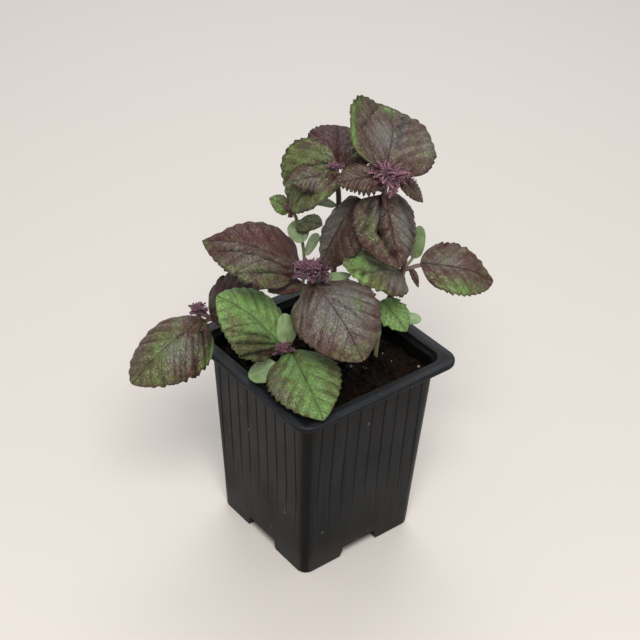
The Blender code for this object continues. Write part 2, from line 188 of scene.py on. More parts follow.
def leaf_pattern(tree):
    """Where the veins, the fine net, the margin and the mottling lie on a leaf."""
    sheet = put(tree, "UVMap", uv_map="sheet").outputs[0]
    course = put(tree, "UVMap", uv_map="veins").outputs[0]
    along = put(tree, "SeparateXYZ", {0: course})
    out = sums(tree, "ABSOLUTE", along.outputs[1])
    thin = ramp(tree, out, 0.2, 1.0, 0.06, 0.025, smooth=False)
    near = sums(tree, "PINGPONG", along.outputs[0], 0.5)
    lateral = put(tree, "MapRange", {"Value": near, 1: thin, 2: 0.0, 3: 0.0, 4: 1.0}).outputs[0]
    rib = ramp(tree, sums(tree, "ABSOLUTE", attribute(tree, "rib")), 0.55, 0.15)
    stray = put(tree, "TexNoise", {"Vector": sheet, "Scale": 0.5, "Detail": 1.0}).outputs["Color"]
    stretched = put(tree, "Mapping", {0: course, 3: (2.2, 1.5, 1.0)}).outputs[0]
    warped, stray_course = (
        put(tree, "VectorMath", {0: stray, 1: (by, by, 0.0), 2: place}, operation="MULTIPLY_ADD").outputs[0]
        for place, by in ((sheet, 2.2), (stretched, 0.9)))
    return {"sheet": sheet, "warped": warped, "lateral": lateral, "rib": rib,
            "net": ramp(tree, cells(tree, warped, 0.62), 0.09, 0.0),
            "patch": grain(tree, sheet, 0.2, 3.0, 0.6),
            "speck": grain(tree, sheet, 1.1, 2.0, 0.6),
            "streak": grain(tree, stray_course, 1.0, 4.0, 0.6),
            "margin": ramp(tree, out, 0.90, 0.975)}


def leaf_upper():
    material, tree, shader = finish("leaf_upper", (0.12, 0.08, 0.06), 0.4, Specular_IOR_Level=0.27)
    mark = leaf_pattern(tree)
    ripe = attribute(tree, "green")
    for pattern, reach in (("patch", 1.7), ("speck", 0.4), ("streak", 0.35)):
        ripe = sums(tree, "ADD", ripe, scaled(tree, mark[pattern], reach, -reach / 2))
    tone = ramp(tree, grain(tree, mark["sheet"], 0.13, 3.0), 0.38, 0.62)
    purple = blend(tree, tone, (0.080, 0.034, 0.027), (0.112, 0.078, 0.058))
    # Sheen and blush marks: below nought they turn the purple to a deep red blush, the leaf's own colour;
    # above nought, with streaks, they paint a sheen on the leaf.
    sheen_and_blush_marks = attribute(tree, "mist")
    blush = times(tree, ramp(tree, sheen_and_blush_marks, -0.05, -0.5), ramp(tree, mark["patch"], 0.3, 0.55, 0.5))
    purple = blend(tree, blush, purple, (0.086, 0.024, 0.023))
    mist = sums(tree, "ADD", sheen_and_blush_marks, scaled(tree, mark["streak"], 1.4, -0.7))
    # Painted sheen: a lavender-grey reflection laid over the purple.
    purple = blend(tree, ramp(tree, mist, 0.15, 0.85), purple, (0.158, 0.131, 0.124))
    green = blend(tree, ramp(tree, ripe, 0.65, 1.15), (0.102, 0.110, 0.034), (0.150, 0.268, 0.072))
    share = ramp(tree, ripe, 0.15, 0.80)
    colour = blend(tree, share, purple, green)
    # Painted sheen: a blue-green reflection laid over the green.
    colour = blend(tree, ramp(tree, mist, 0.2, 1.2, 0.0, 0.4), colour, (0.155, 0.185, 0.140))
    trace = ramp(tree, cells(tree, mark["warped"], 0.33), 0.07, 0.0)
    trace = times(tree, trace, ramp(tree, ripe, 0.1, 0.45, 0.0, 0.45))
    colour = blend(tree, trace, colour, (0.19, 0.25, 0.14))
    lines = sums(tree, "MAXIMUM", times(tree, mark["lateral"], 0.5), times(tree, mark["rib"], 0.75))
    vein = blend(tree, share, (0.050, 0.013, 0.013), (0.080, 0.105, 0.034))
    net = times(tree, mark["net"], ramp(tree, ripe, 0.5, 1.1, 0.32, 0.18))
    colour = blend(tree, sums(tree, "MAXIMUM", lines, net), colour, vein)
    edge = blend(tree, ramp(tree, ripe, 0.5, 1.0), (0.022, 0.009, 0.009), (0.080, 0.080, 0.026))
    colour = blend(tree, times(tree, mark["margin"], 0.8), colour, edge)
    shade = times(tree, attribute(tree, "shade"), ramp(tree, mark["streak"], 0.3, 0.7, 0.82, 1.14))
    gloss = ramp(tree, mark["streak"], 0.3, 0.7, 0.46, 0.30, smooth=False)
    height = scaled(tree, lines, -0.8, times(tree, mark["speck"], 0.5))
    height = scaled(tree, mark["net"], -0.5, height)
    height = scaled(tree, mark["streak"], 0.7, height)
    dress(tree, shader, dim(tree, colour, shade), height, 0.75, 0.0007, gloss)
    return material


def leaf_under():
    material, tree, shader = finish("leaf_under", (0.12, 0.08, 0.07), 0.6, Specular_IOR_Level=0.35,
                                    Sheen_Weight=0.2, Sheen_Roughness=0.5)
    mark = leaf_pattern(tree)
    share = ramp(tree, scaled(tree, mark["patch"], 0.8, attribute(tree, "green")), 0.7, 1.2)
    colour = blend(tree, share, (0.105, 0.052, 0.055), (0.16, 0.21, 0.09))
    lines = sums(tree, "MAXIMUM", mark["lateral"], mark["rib"])
    colour = blend(tree, times(tree, lines, 0.5), colour, (0.17, 0.10, 0.085))
    colour = blend(tree, times(tree, mark["net"], 0.2), colour, (0.07, 0.04, 0.04))
    dress(tree, shader, colour, scaled(tree, mark["speck"], 0.3, lines), 0.5, 0.0005)
    return material


def young_leaf():
    material, tree, shader = finish("young_leaf", (0.13, 0.056, 0.065), 0.5, Sheen_Weight=0.3,
                                    Sheen_Roughness=0.4, Sheen_Tint=(0.95, 0.72, 0.90, 1.0))
    mark = leaf_pattern(tree)
    pale = ramp(tree, mark["streak"], 0.35, 0.65)
    colour = blend(tree, pale, (0.040, 0.009, 0.012), (0.120, 0.042, 0.052))
    colour = blend(tree, times(tree, attribute(tree, "green"), pale), colour, (0.16, 0.17, 0.06))
    colour = blend(tree, sums(tree, "POWER", mark["rib"], 3.0), colour, (0.27, 0.098, 0.145))
    colour = blend(tree, times(tree, mark["margin"], 0.4), colour, (0.24, 0.11, 0.15))
    height = scaled(tree, mark["lateral"], -1.0, mark["streak"])
    dress(tree, shader, dim(tree, colour, attribute(tree, "shade")), height, 0.6, 0.0005)
    return material


def seed_leaf():
    material, tree, shader = finish("seed_leaf", (0.18, 0.30, 0.11), 0.5, Sheen_Weight=0.15)
    mark = leaf_pattern(tree)
    colour = blend(tree, ramp(tree, mark["patch"], 0.3, 0.7), (0.125, 0.20, 0.07), (0.235, 0.31, 0.15))
    colour = blend(tree, times(tree, mark["rib"], 0.4), colour, (0.28, 0.36, 0.20))
    colour = blend(tree, times(tree, mark["margin"], 0.35), colour, (0.17, 0.15, 0.08))
    dress(tree, shader, colour, scaled(tree, mark["net"], -0.4, mark["speck"]), 0.4, 0.0003)
    return material


def stalk_skin():
    material, tree, shader = finish("stalk_skin", (0.14, 0.08, 0.06), 0.5, Sheen_Weight=0.25)
    place = put(tree, "TexCoord").outputs["Object"]
    streak = put(tree, "Mapping", {0: place, 3: (1.0, 1.0, 0.12)}).outputs[0]
    pale = grain(tree, streak, 900.0, 3.0)
    patch = grain(tree, place, 90.0)
    ripe = sums(tree, "ADD", attribute(tree, "green"), scaled(tree, patch, 1.2, -0.6))
    share = ramp(tree, ripe, 0.3, 0.7)
    colour = blend(tree, share, (0.088, 0.033, 0.034), (0.15, 0.18, 0.065))
    colour = blend(tree, ramp(tree, pale, 0.45, 0.75, 0.0, 0.4), colour, (0.19, 0.125, 0.095))
    dress(tree, shader, colour, pale, 0.5, 0.0003)
    return material


def damp_compost():
    material, tree, shader = finish("damp_compost", (0.009, 0.005, 0.003), 0.85, Specular_IOR_Level=0.07)
    place = put(tree, "TexCoord").outputs["Object"]
    crumb = grain(tree, place, 420.0, 4.0, 0.65)
    patch = grain(tree, place, 70.0, 3.0)
    colour = blend(tree, ramp(tree, crumb, 0.4, 0.75), (0.0021, 0.0013, 0.0009), (0.0110, 0.0058, 0.0030))
    colour = blend(tree, ramp(tree, patch, 0.45, 0.7, 0.0, 0.6), colour, (0.011, 0.005, 0.0026))
    pale = ramp(tree, grain(tree, place, 160.0, 3.0, 0.7), 0.62, 0.72, 0.0, 0.7)
    colour = blend(tree, pale, colour, (0.045, 0.024, 0.012))
    dress(tree, shader, colour, crumb, 0.8, 0.0012, ramp(tree, patch, 0.3, 0.6, 0.55, 0.95))
    return material


def grit():
    material, tree, shader = finish("grit", (0.30, 0.27, 0.22), 0.8)
    place = put(tree, "TexCoord").outputs["Object"]
    pitted = grain(tree, place, 1500.0, 3.0)
    colour = blend(tree, ramp(tree, pitted, 0.35, 0.65), (0.09, 0.075, 0.060), (0.28, 0.25, 0.21))
    dress(tree, shader, colour, pitted, 0.6, 0.0004)
    return material


def pot_plastic():
    material, tree, shader = finish("pot_plastic", (0.010, 0.010, 0.011), 0.45, Specular_IOR_Level=0.13)
    place = put(tree, "TexCoord").outputs["Object"]
    spot = put(tree, "SeparateXYZ", {0: place})
    streak = grain(tree, put(tree, "Mapping", {0: place, 3: (1.0, 1.0, 0.08)}).outputs[0], 260.0, 4.0, 0.6)
    cloud = grain(tree, place, 45.0, 3.0)
    pitted = grain(tree, place, 2600.0)
    colour = blend(tree, ramp(tree, streak, 0.35, 0.7), (0.0058, 0.0063, 0.0072), (0.0104, 0.0111, 0.0124))
    # Lighter, browner streaks on the -Y face.
    left = ramp(tree, spot.outputs[1], -0.026, -0.034)
    left_face_streaks = times(tree, left, ramp(tree, streak, 0.35, 0.65, 0.0, 0.05))
    colour = blend(tree, left_face_streaks, colour, (0.032, 0.029, 0.026))
    low = times(tree, ramp(tree, spot.outputs[2], 0.022, 0.0), ramp(tree, cloud, 0.4, 0.7, 0.0, 0.5))
    colour = blend(tree, low, colour, (0.045, 0.035, 0.028))
    dots = cells(tree, place, 120.0, "F1")
    rare = ramp(tree, grain(tree, place, 30.0, 1.0), 0.52, 0.62)
    speck = times(tree, ramp(tree, dots, 0.115, 0.06), rare)
    colour = blend(tree, times(tree, speck, 0.55), colour, (0.20, 0.18, 0.16))
    sideways = [sums(tree, "ABSOLUTE", spot.outputs[axis]) for axis in (0, 1)]
    reach = sums(tree, "MAXIMUM", *sideways)
    # Painted shade: everything within the line of the outer wall, the inner wall and the pot's floor, turns
    # near black.
    skin = scaled(tree, spot.outputs[2], -WALL_LEAN, reach)
    colour = blend(tree, ramp(tree, skin, 0.0323, 0.0319), colour, (0.0030, 0.0026, 0.0022))
    shelf = times(tree, ramp(tree, spot.outputs[2], 0.0982, 0.0988), ramp(tree, reach, 0.0425, 0.0405))
    colour = blend(tree, shelf, colour, (0.0040, 0.0038, 0.0038))
    # Painted highlight: a bluish sheen on the outer top of the rim, broken up by the cloud noise.
    rim_highlight = times(tree, ramp(tree, spot.outputs[2], 0.0992, 0.0998), ramp(tree, reach, 0.0405, 0.0430))
    rim_highlight = times(tree, rim_highlight, ramp(tree, cloud, 0.35, 0.65, 0.35, 0.75))
    colour = blend(tree, rim_highlight, colour, (0.026, 0.030, 0.036))
    worn = scaled(tree, speck, 0.3, ramp(tree, cloud, 0.3, 0.7, 0.36, 0.52, smooth=False))
    dress(tree, shader, colour, scaled(tree, streak, 0.6, pitted), 0.18, 0.0004, worn)
    return material


# Shapes

def deselect():
    bpy.ops.object.select_all(action="DESELECT")


def pick(*objects):
    """Selects these objects alone, with the first one active."""
    deselect()
    for obj in objects:
        obj.select_set(True)
    bpy.context.view_layer.objects.active = objects[0]


def unit(vector):
    return vector / np.linalg.norm(vector)


def places(obj):
    co = np.empty(len(obj.data.vertices) * 3)
    obj.data.vertices.foreach_get("co", co)
    return co.reshape(-1, 3)


def move_to(obj, points, name, material):
    """Puts the vertices at these points in millimetres, with the object at the origin."""
    obj.location = (0, 0, 0)
    obj.data.vertices.foreach_set("co", (np.asarray(points) * MM).ravel())
    obj.data.update()
    obj.name = name
    obj.data.name = name
    if material:
        obj.data.materials.append(material)


def use(obj, kind, **settings):
    """Adds a modifier with these settings and applies it."""
    pick(obj)
    bpy.ops.object.modifier_add(type=kind)
    modifier = obj.modifiers[-1]
    for setting, value in settings.items():
        setattr(modifier, setting, value)
    bpy.ops.object.modifier_apply(modifier=modifier.name)


def smooth(obj, angle):
    pick(obj)
    bpy.ops.object.shade_smooth_by_angle(angle=radians(angle))


def face_out(obj):
    pick(obj)
    bpy.ops.object.mode_set(mode="EDIT")
    bpy.ops.mesh.select_all(action="SELECT")
    bpy.ops.mesh.normals_make_consistent(inside=False)
    bpy.ops.object.mode_set(mode="OBJECT")


def join(name, parts):
    pick(*parts)
    bpy.ops.object.join()
    parts[0].name = name
    parts[0].data.name = name
    return parts[0]


def strew(name, shape, turns, material):
    """Copies of a shape, each placed by its own matrix, joined into one piece."""
    parts = []
    for turn in turns:
        copy = shape.copy()
        copy.data = shape.data.copy()
        bpy.context.scene.collection.objects.link(copy)
        copy.data.transform(turn)
        parts.append(copy)
    piece = join(name, parts)
    piece.data.materials.clear()
    piece.data.materials.append(material)
    return piece


def edit_edges(obj, wanted):
    """Opens an object in edit mode with only the wanted edges selected."""
    bpy.ops.object.mode_set(mode="EDIT")
    bpy.ops.mesh.select_mode(type="EDGE")
    bpy.ops.mesh.select_all(action="DESELECT")
    bm = bmesh.from_edit_mesh(obj.data)
    for edge in bm.edges:
        edge.select_set(wanted(edge))
    bmesh.update_edit_mesh(obj.data)


def loft(name, rings, material=None):
    """A closed skin through rings of equal length: a cylinder cut once for each ring."""
    rings = np.asarray(rings, float)
    levels, around = rings.shape[:2]
    deselect()
    bpy.ops.mesh.primitive_cylinder_add(vertices=around, radius=1.0, depth=levels - 1, location=(0, 0, 0))
    obj = bpy.context.object
    if levels > 2:
        edit_edges(obj, lambda edge: abs(edge.verts[0].co.z - edge.verts[1].co.z) > 0.5)
        bpy.ops.mesh.subdivide(number_cuts=levels - 2)
        bpy.ops.object.mode_set(mode="OBJECT")
    co = places(obj)
    level = np.rint(co[:, 2] + (levels - 1) / 2).astype(int)
    step = np.rint((np.arctan2(co[:, 1], co[:, 0]) - pi / 2) / tau * around).astype(int) % around
    move_to(obj, rings[level, step], name, material)
    face_out(obj)
    return obj


def bend_through(points, per_span):
    """A smooth path through these points."""
    points = np.asarray(points, float)
    ends = np.vstack([2 * points[0] - points[1], points, 2 * points[-1] - points[-2]])
    path = []
    for a, b, c, d in zip(ends, ends[1:], ends[2:], ends[3:]):
        for t in np.arange(per_span) / per_span:
            path.append(0.5 * (2 * b + (c - a) * t + (2 * a - 5 * b + 4 * c - d) * t ** 2
                               + (3 * b - a - 3 * c + d) * t ** 3))
    path.append(points[-1])
    return np.array(path)


def rod(name, points, radii, sides=8, square=0.0, per_span=5):
    """A bar of stalk along a smooth path, round or rounded square."""
    path = bend_through(np.column_stack([points, radii]), per_span)
    centre, radius = path[:, :3], np.maximum(path[:, 3], 0.05)
    angle = tau * np.arange(sides) / sides
    rings = []
    across = None
    for i in range(len(centre)):
        along = unit(centre[min(i + 1, len(centre) - 1)] - centre[max(i - 1, 0)])
        if across is None:
            across = np.cross(along, (0.31, 0.95, 0.05))
        across = unit(across - along * across.dot(along))
        other = np.cross(along, across)
        reach = radius[i] * (1 + square * np.cos(4 * angle))
        turn = np.outer(np.cos(angle), across) + np.outer(np.sin(angle), other)
        rings.append(centre[i] + reach[:, None] * turn)
    return loft(name, rings, STALK_SKIN)


def store(obj, name, values):
    layer = obj.data.attributes.new(name, "FLOAT", "POINT")
    layer.data.foreach_set("value", np.asarray(values, np.float32))


def store_uv(obj, name, u, v):
    layer = obj.data.uv_layers.new(name=name, do_init=False)
    corner = np.empty(len(obj.data.loops), np.int32)
    obj.data.loops.foreach_get("vertex_index", corner)
    layer.data.foreach_set("uv", np.column_stack([u[corner], v[corner]]).astype(np.float32).ravel())


# Leaves

WIDEST = 0.42
FIRST_VEIN = 0.03
VEINED = 0.84
VEIN_SWEEP = 0.95
NARROWEST = 0.35
RIB_WIDTH = 1.0
SMALL_WIDTH = 18
SMALL_FORM = dict(teeth=9, columns=14, quilt=0.25, ruffle=0.3, groove=0.3, swell=0.3, cut=0.08)
# Rings of young leaves round a tip, as shares of its length, spread and count, then each leaf's breadth
CROWN_RINGS = ((1.05, 1.2, 0.5, 0.6), (1.0, 0.95, 1, 0.38), (0.9, 0.7, 1, 0.28), (0.8, 0.45, 1, 0.26),
               (0.7, 0.2, 0.5, 0.26))


def ease(value, low, high):
    t = np.clip((value - low) / (high - low), 0, 1)
    return t * t * (3 - 2 * t)


def half_outline(u, base=0.42, point=0.85):
    """Half width along a leaf, as a share of the widest; small powers give a full base or a blunt tip."""
    near = np.maximum(1 - ((WIDEST - u) / WIDEST) ** 2, 0) ** base
    far = np.maximum(1 - (np.maximum(u - WIDEST, 0) / (1 - WIDEST)) ** 1.8, 0) ** point
    return np.where(u < WIDEST, near, far)


class Blade:
    """A leaf between a base and a tip, arched along its rib and bent down at its sides."""

    def __init__(self, base, tip, width, arch, roll, cup):
        self.base = np.array(base, float)
        chord = np.array(tip, float) - self.base
        self.length = np.linalg.norm(chord)
        self.turn = np.array(Matrix.Rotation(radians(roll), 3, Vector(chord).normalized()))
        self.ahead = unit(chord * (1, 1, 0))
        self.pitch = np.arcsin(chord[2] / self.length)
        self.bend = radians(arch) / 2
        self.half = width / 2
        self.cup = radians(cup)

    def place(self, u, y, z):
        """Points at u along the rib, y across and z off the sheet."""
        slope = self.pitch + self.bend * (1 - 2 * u)
        up = np.array((0.0, 0.0, 1.0))
        if abs(self.bend) < 0.01:
            run, rise = self.length * u * cos(self.pitch), self.length * u * sin(self.pitch)
        else:
            radius = self.length / sin(self.bend) / 2
            run = radius * (sin(self.pitch + self.bend) - np.sin(slope))
            rise = radius * (np.cos(slope) - cos(self.pitch + self.bend))
        along = np.outer(np.cos(slope), self.ahead) + np.outer(np.sin(slope), up)
        normal = np.outer(np.cos(slope), up) - np.outer(np.sin(slope), self.ahead)
        side = np.cross(normal, along)
        local = np.outer(run, self.ahead) + np.outer(rise, up) + side * y[:, None] + normal * z[:, None]
        return self.base + local @ self.turn.T


def sections(u, columns, cup, fold, curls):
    """Where each column lies across a leaf of half width one, for each row, as y and z.

    fold is how many degrees each half rises beside the rib before it bends down. curls holds, for the
    left and the right side, how many degrees the margin turns up, from where and to where.
    """
    fine = 6
    half = columns // 2
    t = np.linspace(0, 1, half * fine + 1)
    y = np.zeros((len(u), columns + 1))
    z = np.zeros((len(u), columns + 1))
    body = ease(u, 0.02, 0.3) * ease(u, 1.0, 0.7)
    edge = ease(u, 0.02, 0.3) * ease(u, 1.0, 0.55)
    for sign, (turn, start, end) in zip((1, -1), curls):
        angle = cup * t[None, :] - radians(fold) * body[:, None] * (1 - ease(t, 0.05, 0.6))[None, :]
        angle = angle - radians(turn) * edge[:, None] * ease(t, start, end)[None, :]
        middle = (angle[:, 1:] + angle[:, :-1]) / 2
        out = np.cumsum(np.cos(middle), axis=1) / (half * fine)
        down = np.cumsum(-np.sin(middle), axis=1) / (half * fine)
        for k in range(1, half + 1):
            y[:, half + sign * k] = sign * out[:, k * fine - 1]
            z[:, half + sign * k] = down[:, k * fine - 1]
    return y, z


def crumple(rng, x, y, size):
    """A gentle uneven surface with swells of about this size."""
    total, waves = 0, 6
    for _ in range(waves):
        heading, phase, stretch = rng.uniform(0, tau), rng.uniform(0, tau), rng.uniform(0.75, 1.4)
        total = total + np.sin((x * cos(heading) + y * sin(heading)) * tau / size / stretch + phase)
    return total / waves


def away(x, y, xs, ys):
    """Distance of each point from the line between two points."""
    along = np.array((xs[1] - xs[0], ys[1] - ys[0]))
    share = np.clip(((x - xs[0]) * along[0] + (y - ys[0]) * along[1]) / (along @ along), 0, 1)
    return np.hypot(x - xs[0] - share * along[0], y - ys[0] - share * along[1])


def touch(u, v, spots):
    """The sum of soft oval spots (u, v, reach along, reach across, amount) on a leaf."""
    total = np.zeros_like(u)
    for at_u, at_v, along, across, amount in spots:
        total += amount * np.exp(-((u - at_u) / along) ** 2 - ((v - at_v) / across) ** 2)
    return total


def crease(blade, u, v, half, creases):
    """How far creases press a leaf in at each point, and how much painted shade they lay on it."""
    deep, dark = np.zeros_like(u), np.zeros_like(u)
    for from_u, from_v, to_u, to_v, depth, width in creases:
        ends = np.array((from_u, to_u))
        across = np.array((from_v, to_v)) * blade.half * half_outline(ends)
        near = away(u * blade.length, v * half, ends * blade.length, across)
        deep += depth * np.exp(-(near / width) ** 2)
        dark += np.sign(depth) * 0.55 * np.exp(-(near / width * 1.15) ** 2)
    return deep, dark


def blade_sheet(name, blade, finishes, rng, teeth=15, cut=0.05, columns=40, veins=5, quilt=0.4, ruffle=0.4,
                groove=0.5, swell=0.9, fold=8.0, curls=((0, 0.6, 1), (0, 0.6, 1)), creases=(),
                outline=(0.42, 0.85, 0.85), sides=(1.0, 1.0), thick=0.45, per_tooth=5, green=0.2, spots=(),
                mist=(), shade=1.0, shadows=()):
    """A leaf blade: a grid set on the blade's curve, with teeth, sunk veins and swollen fields between them.

    outline holds the powers for the base and for the left and right of the tip, and sides each side's
    share of the width. creases holds lines from (u, v) to (u, v) with their depth and width, and they get
    painted shade. spots hold soft ovals that turn the blade green; the sheen and blush ovals paint a
    lavender-grey sheen where they are above nought and a deep red blush where below; shadows hold ovals
    of painted shade.
    """
    rows = teeth * per_tooth
    deselect()
    bpy.ops.mesh.primitive_grid_add(x_subdivisions=rows, y_subdivisions=columns, size=2.0, location=(0, 0, 0))
    obj = bpy.context.object
    co = places(obj)
    i = np.rint((co[:, 0] + 1) / 2 * rows).astype(int)
    j = np.rint((co[:, 1] + 1) / 2 * columns).astype(int)
    v = co[:, 1]
    share = np.arange(rows + 1) / rows
    along = 0.6 * share + 0.4 * (1 - np.cos(pi * share)) / 2
    u = along[i]
    out = np.abs(v)

    tooth = i + np.where(v > 0, 0, per_tooth // 2)
    depth = rng.uniform(0.55, 1.3, rows + per_tooth)[tooth // per_tooth * 2 + (v > 0)]
    bite = cut * depth * (1 - (tooth % per_tooth) / (per_tooth - 1)) * ease(u, 0.08, 0.3) * out ** 8
    half = blade.half * np.where(v > 0, *sides) * half_outline(u, outline[0], np.where(v > 0, *outline[1:]))
    half = np.maximum(half, NARROWEST)
    wide = half * (1 - bite)
    y_share, z_share = sections(along, columns, blade.cup, fold, curls)
    y = y_share[i, j] * wide
    z = z_share[i, j] * wide

    phase = (u - VEIN_SWEEP * half / blade.length * out ** 0.85 - FIRST_VEIN) * veins / VEINED
    bulge = np.minimum(1, half / 7)
    field = ease(out, 0.02, 0.3) * (1 - 0.6 * out ** 4) * bulge
    uneven = 1 + 0.8 * crumple(rng, u * blade.length, y, 17.0)
    swells = quilt * uneven * (np.abs(np.sin(pi * phase)) ** 0.8 - 0.5) * field
    puckers = 0.2 * crumple(rng, u * blade.length, y, 4.5) * bulge
    z += swells + puckers
    z -= groove * np.exp(-(y / RIB_WIDTH) ** 2) * np.minimum(1, half / 3)
    z -= ruffle * uneven * out ** 3 * np.cos(tau * phase) * np.minimum(1, half / 8)
    z += swell * crumple(rng, u * blade.length, y, 19.0) * bulge
    z += 0.35 * swell * crumple(rng, u * blade.length, y, 8.0) * bulge
    deep, dark = crease(blade, u, v, half, creases)
    move_to(obj, blade.place(u, y, z - deep), name, finishes[0])
    obj.data.materials.append(finishes[1])

    offset = rng.integers(0, 900, 2)
    store_uv(obj, "sheet", u * blade.length + offset[0], v * half + offset[1])
    store_uv(obj, "veins", phase, v)
    store(obj, "rib", y)
    store(obj, "green", green + touch(u, v, spots))
    # Sheen and blush marks: painted sheen where above nought, a red blush where below.
    store(obj, "mist", touch(u, v, mist))
    # Painted shade near the base of the blade, painted light on the swells and puckers and painted shade in
    # their hollows, less the creases' painted shade, plus the painted shadows.
    lit = 1 - 0.22 * np.exp(-((u / 0.16) ** 2) - (v / 0.8) ** 2) + 0.5 * swells + 0.7 * puckers
    store(obj, "shade", shade * lit - dark + touch(u, v, shadows))
    use(obj, "SOLIDIFY", thickness=thick * MM, offset=0.0, material_offset=1, material_offset_rim=0)
    smooth(obj, 60)
    return obj


def tinted(obj, green):
    """Marks how green a stalk or stem is."""
    store(obj, "green", np.full(len(obj.data.vertices), green))
    return obj


def draws(name, factor, size):
    """Random draws of a leaf's own, from its name and size."""
    return np.random.default_rng(sum(map(ord, name)) * factor + int(size * 10))


def leaf(name, joint, base, tip, width, arch, roll, cup, stalk=1.0, **form):
    """A toothed leaf on its stalk, which runs on as the rib under the blade."""
    blade = Blade(base, tip, width, arch, roll, cup)
    if width < SMALL_WIDTH:
        form = {**SMALL_FORM, **form}
    sheet = blade_sheet(name, blade, (LEAF_UPPER, LEAF_UNDER), draws(name, 31, width), **form)
    reach = np.array((0.0, 0.15, 0.35, 0.55, 0.75))
    thick = stalk * (1 - 0.9 * reach)
    rib = blade.place(reach, np.zeros(5), -0.1 - form.get("groove", 0.5) - thick)
    bar = rod(name + "_stalk", [joint, *rib], [stalk, *thick])
    return [sheet, tinted(bar, form.get("green", 0.2))]


def round_leaf(name, joint, base, tip, width, roll, cup, stalk):
    """A small plain-edged seed leaf on its stalk."""
    blade = Blade(base, tip, width, 15, roll, cup)
    sheet = blade_sheet(name, blade, (SEED_LEAF, SEED_LEAF), draws(name, 17, width), teeth=6, cut=0.0,
                        columns=14, veins=3, quilt=0.1, ruffle=0.0, groove=0.2, swell=0.3, green=1.0,
                        outline=(0.5, 0.5, 0.5))
    reach = np.array((0.0, 0.25, 0.5))
    rib = blade.place(reach, np.zeros(3), np.full(3, -0.3))
    bar = rod(name + "_stalk", [joint, *rib], [stalk, stalk, stalk * 0.8, stalk * 0.4])
    return [sheet, tinted(bar, 1.0)]


def crown(name, centre, length, count, spread, green=0.0, shade=1.0):
    """Young frilled leaves round a growing tip, ring inside ring, the inner ones shorter and more upright."""
    rng = draws(name, 13, length)
    parts = []
    for size_share, spread_share, count_share, broad in CROWN_RINGS:
        number = int(count * count_share)
        for i in range(number):
            heading = tau * (i / number + size_share * 1.7) + rng.uniform(-0.2, 0.2)
            tilt = radians(90 - min(spread * spread_share * rng.uniform(0.75, 1.25), 92))
            size = length * size_share * rng.uniform(0.65, 1.0)
            base = np.array(centre) + 0.5 * size_share * np.array((cos(heading), sin(heading), 0.0))
            tip = base + size * np.array((cos(heading) * cos(tilt), sin(heading) * cos(tilt), sin(tilt)))
            blade = Blade(base, tip, size * broad, rng.uniform(20, 110), rng.uniform(-40, 40), -30)
            parts.append(blade_sheet(
                f"{name}_{len(parts)}", blade, (YOUNG_LEAF, YOUNG_LEAF), rng, teeth=7, cut=0.55, columns=6,
                veins=7, quilt=0.8, ruffle=6.0, groove=0.3, swell=1.6, thick=0.25, outline=(0.6, 0.6, 0.6),
                per_tooth=4, green=green, shade=shade, shadows=((0.0, 0.0, 0.5, 3.0, -0.7),)))
    heart = [np.array(centre) - (0, 0, 3), np.array(centre) + (0, 0, length * 0.2)]
    parts.append(tinted(rod(name + "_heart", heart, [1.3, 0.6]), green))
    return parts


# Stems

HAIR_SPACING = 0.35
STEM_FOOT = 79.7
COLLAR = 95.0


def hairs(name, points, radii, rng):
    """Short fine hairs standing off a stem."""
    deselect()
    bpy.ops.mesh.primitive_cone_add(vertices=3, radius1=0.07 * MM, radius2=0.0, depth=MM, location=(0, 0, 0))
    hair = bpy.context.object
    hair.data.transform(Matrix.Translation((0, 0, 0.4 * MM)))
    path = bend_through(np.column_stack([points, radii]), 40)
    path = path[path[:, 2] > SOIL_TOP + 2]
    turns = []
    for at in rng.integers(1, len(path), int((path[-1, 2] - path[0, 2]) / HAIR_SPACING)):
        along = Vector(path[at, :3] - path[at - 1, :3]).normalized()
        out = Matrix.Rotation(rng.uniform(0, tau), 3, along) @ along.orthogonal().normalized()
        heading = (out - along * rng.uniform(0.0, 0.5)).to_track_quat("Z", "Y").to_matrix().to_4x4()
        root = Vector(path[at, :3]) + out * path[at, 3] * 0.95
        shorter = Matrix.Diagonal((1, 1, rng.uniform(0.35, 0.9), 1))
        turns.append(Matrix.Translation(root * MM) @ heading @ shorter)
    piece = strew(name, hair, turns, STALK_SKIN)
    bpy.data.objects.remove(hair)
    return piece


def stem(name, path, thick, thin, green=0.3):
    """A slightly square stem with its hairs."""
    points = [(*path[0][:2], STEM_FOOT), *path]
    share = np.array([0, *(np.arange(len(path)) / (len(path) - 1))])
    radii = thick + (thin - thick) * share
    trunk = rod(name, points, radii, 16, 0.05, 10)
    coat = hairs(name + "_hairs", points, radii, np.random.default_rng(len(name)))
    return tinted(join(name, [trunk, coat]), green)


def rise(foot, *points):
    """A stem's path, from just above the compost."""
    return [(*foot, COLLAR), *points]


def set_in(piece, node):
    """Puts a finished piece in its node's place."""
    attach(piece, "root")
    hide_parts(node)


# Plant

